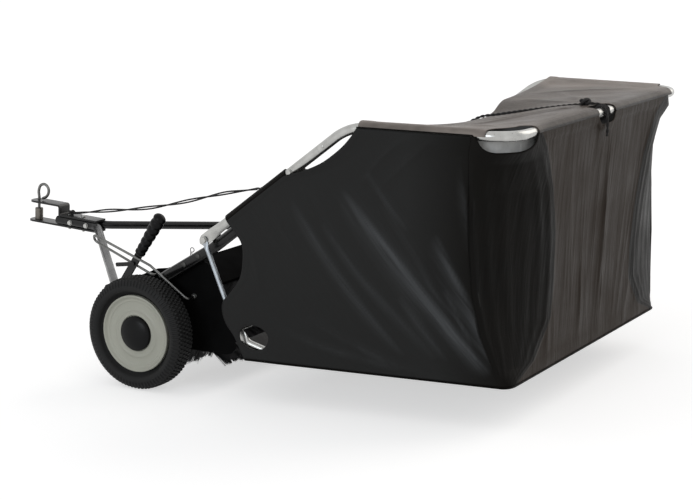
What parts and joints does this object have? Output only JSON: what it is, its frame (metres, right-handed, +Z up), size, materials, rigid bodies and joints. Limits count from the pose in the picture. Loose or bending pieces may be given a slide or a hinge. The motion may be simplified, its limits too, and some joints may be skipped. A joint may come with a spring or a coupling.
{
  "type": "tow-behind lawn sweeper",
  "caption": "Ground-driven lawn sweeper towed behind a garden tractor: wheels turn a brush under a hood, which throws leaves into a tipping fabric hopper.",
  "frame": {"origin": "on the ground, under the middle of the machine's length and width", "axes": "+X to the machine's left, +Y to the rear, away from the towing machine, +Z up"},
  "size_m": [1.274, 1.9413, 0.7663],
  "materials": {
    "black_steel": "semi-gloss black paint",
    "zinc": "bright zinc plating",
    "brown_steel": "bare grey-brown steel",
    "black_plastic": "satin black",
    "off_white": "satin moulded off-white",
    "tyre": "matte black rubber",
    "bristle": "black nylon",
    "bag_fabric": "coated black fabric with a slight sheen",
    "rope": "twisted black cord"
  },
  "bodies": {
    "chassis": {"side_plate_left": "black_steel", "side_plate_right": "black_steel", "brush_hood": "black_steel", "arm_tube_left": "black_steel", "arm_tube_right": "black_steel", "arm_cap_left": "black_plastic", "arm_cap_right": "black_plastic", "arm_pin_left_front": "zinc", "arm_pin_left_rear": "zinc", "arm_pin_right_front": "zinc", "arm_pin_right_rear": "zinc", "axle_bolt_left": "zinc", "axle_bolt_right": "zinc", "shaft_bearing_left": "black_plastic", "shaft_bearing_right": "black_plastic", "pivot_bolt_left": "zinc", "pivot_bolt_right": "zinc", "tongue_bolt_left": "zinc", "tongue_bolt_right": "zinc", "wire_guide": "zinc"},
    "left_wheel": {"tyre_left": "tyre", "wheel_disc_left": "off_white", "ring_gear_left": "black_plastic", "hub_cap_left": "black_plastic"},
    "right_wheel": {"tyre_right": "tyre", "wheel_disc_right": "off_white", "ring_gear_right": "black_plastic", "hub_cap_right": "black_plastic"},
    "brush": {"brush_shaft": "zinc", "pinion_left": "zinc", "pinion_right": "zinc", "bristle_strip_1": "bristle", "bristle_strip_2": "bristle", "bristle_strip_3": "bristle", "bristle_strip_4": "bristle"},
    "tongue": {"hitch_tube_left": "black_steel", "hitch_tube_right": "black_steel", "hitch_plate_upper": "black_steel", "hitch_plate_lower": "black_steel", "hitch_side_bolt_front": "zinc", "hitch_side_bolt_rear": "zinc", "hitch_top_bolt_front": "zinc", "hitch_top_bolt_rear": "zinc", "hitch_spacer": "brown_steel", "height_lever": "black_steel", "lever_grip": "black_plastic", "lever_latch": "black_steel", "rope_front": "rope"},
    "towing_pin": {"hitch_pin": "zinc"},
    "hopper": {"hopper_bag": "bag_fabric", "side_tube_left": "zinc", "side_tube_right": "zinc", "top_frame": "zinc", "lower_frame": "zinc", "strut_left": "zinc", "strut_right": "zinc", "cross_rod": "zinc", "rest_pin_left": "zinc", "rest_pin_right": "zinc", "rope_rear": "rope"}
  },
  "joints": [
    {"name": "left_wheel_spin", "type": "hinge", "parent": "chassis", "child": "left_wheel", "pos_m": [0, -0.10615, 0.1524], "axis": [1, 0, 0], "continuous": true},
    {"name": "right_wheel_spin", "type": "hinge", "parent": "chassis", "child": "right_wheel", "pos_m": [0, -0.10615, 0.1524], "axis": [1, 0, 0], "continuous": true},
    {"name": "brush_spin", "type": "hinge", "parent": "chassis", "child": "brush", "pos_m": [0, -0.02215, 0.1524], "axis": [1, 0, 0], "continuous": true},
    {"name": "tongue_tilt", "type": "hinge", "parent": "chassis", "child": "tongue", "pos_m": [0, -0.21815, 0.238], "axis": [1, 0, 0], "range_deg": [-7, 8], "deforming": ["rope_front"]},
    {"name": "towing_pin_lift", "type": "slide", "parent": "tongue", "child": "towing_pin", "axis": [0, 0.0523, 0.9986], "range_m": [0, 0.1]},
    {"name": "hopper_dump", "type": "hinge", "parent": "chassis", "child": "hopper", "pos_m": [0, 0.08585, 0.4165], "axis": [1, 0, 0], "range_deg": [0, 75], "deforming": ["rope_rear"]}
  ],
  "couplings": [
    {"joint": "right_wheel_spin", "follows": "left_wheel_spin", "ratio": 1},
    {"joint": "brush_spin", "follows": "left_wheel_spin", "ratio": 5}
  ]
}
